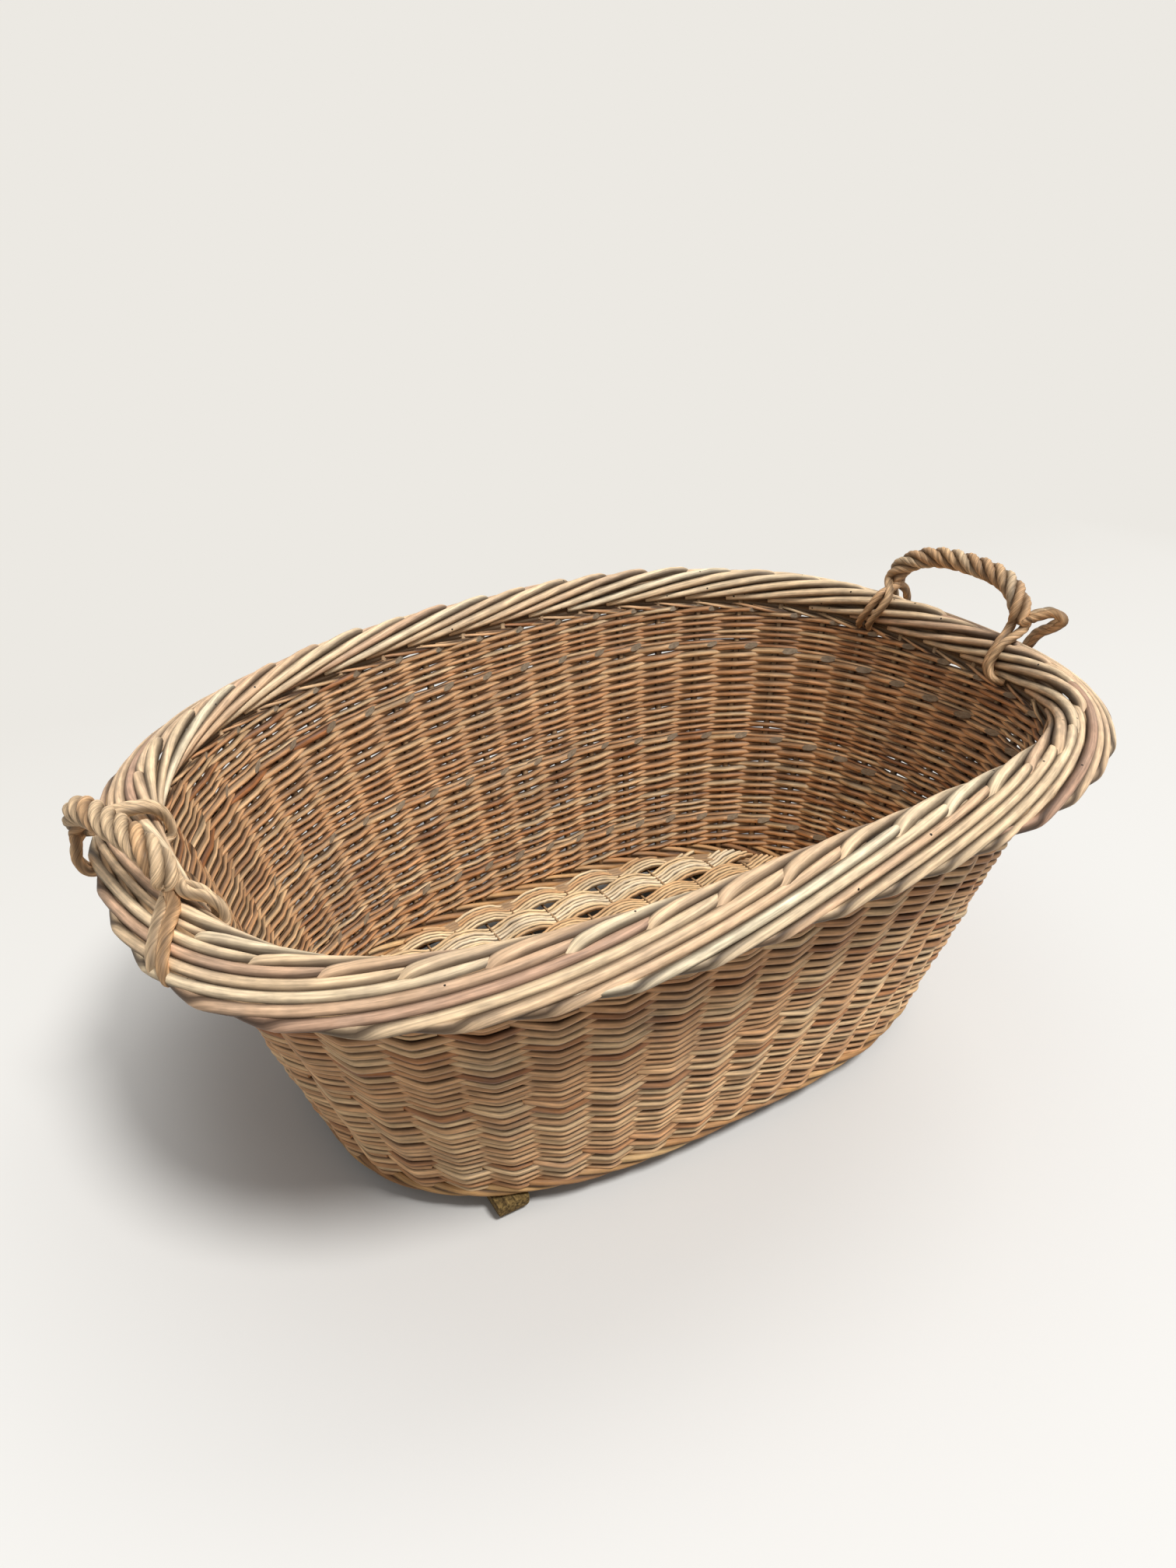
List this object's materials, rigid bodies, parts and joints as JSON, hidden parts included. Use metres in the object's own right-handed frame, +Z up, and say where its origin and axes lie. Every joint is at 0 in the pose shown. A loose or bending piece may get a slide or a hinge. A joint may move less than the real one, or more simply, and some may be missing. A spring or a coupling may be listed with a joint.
{
  "type": "laundry basket",
  "caption": "Oval woven willow laundry basket with a broad swept border and a rope handle at each end.",
  "frame": {"origin": "on the floor, under the middle of the basket", "axes": "+X along the basket toward its higher end and right handle, +Y across it, +Z up"},
  "size_m": [0.764, 0.5472, 0.3402],
  "materials": {
    "runner": "matte",
    "floor": "matte",
    "edge": "satin",
    "stake": "satin",
    "weave": "satin",
    "border": "satin",
    "rope": "satin"
  },
  "bodies": {
    "root": {"runner_left": "runner", "runner_right": "runner", "floor_weave": "floor", "bottom_edge": "edge", "stake_01": "stake", "stake_02": "stake", "stake_03": "stake", "stake_04": "stake", "stake_05": "stake", "stake_06": "stake", "stake_07": "stake", "stake_08": "stake", "stake_09": "stake", "stake_10": "stake", "stake_11": "stake", "stake_12": "stake", "stake_13": "stake", "stake_14": "stake", "stake_15": "stake", "stake_16": "stake", "stake_17": "stake", "stake_18": "stake", "stake_19": "stake", "stake_20": "stake", "stake_21": "stake", "stake_22": "stake", "stake_23": "stake", "stake_24": "stake", "stake_25": "stake", "stake_26": "stake", "stake_27": "stake", "stake_28": "stake", "stake_29": "stake", "stake_30": "stake", "stake_31": "stake", "stake_32": "stake", "stake_33": "stake", "stake_34": "stake", "stake_35": "stake", "stake_36": "stake", "stake_37": "stake", "stake_38": "stake", "stake_39": "stake", "stake_40": "stake", "stake_41": "stake", "stake_42": "stake", "stake_43": "stake", "stake_44": "stake", "stake_45": "stake", "stake_46": "stake", "weave_band_1": "weave", "weave_band_2": "weave", "weave_band_3": "weave", "weave_band_4": "weave", "top_wale": "weave", "border_knees": "border", "border_sweep": "border", "handle_right": "rope", "handle_left": "rope"}
  },
  "joints": []
}
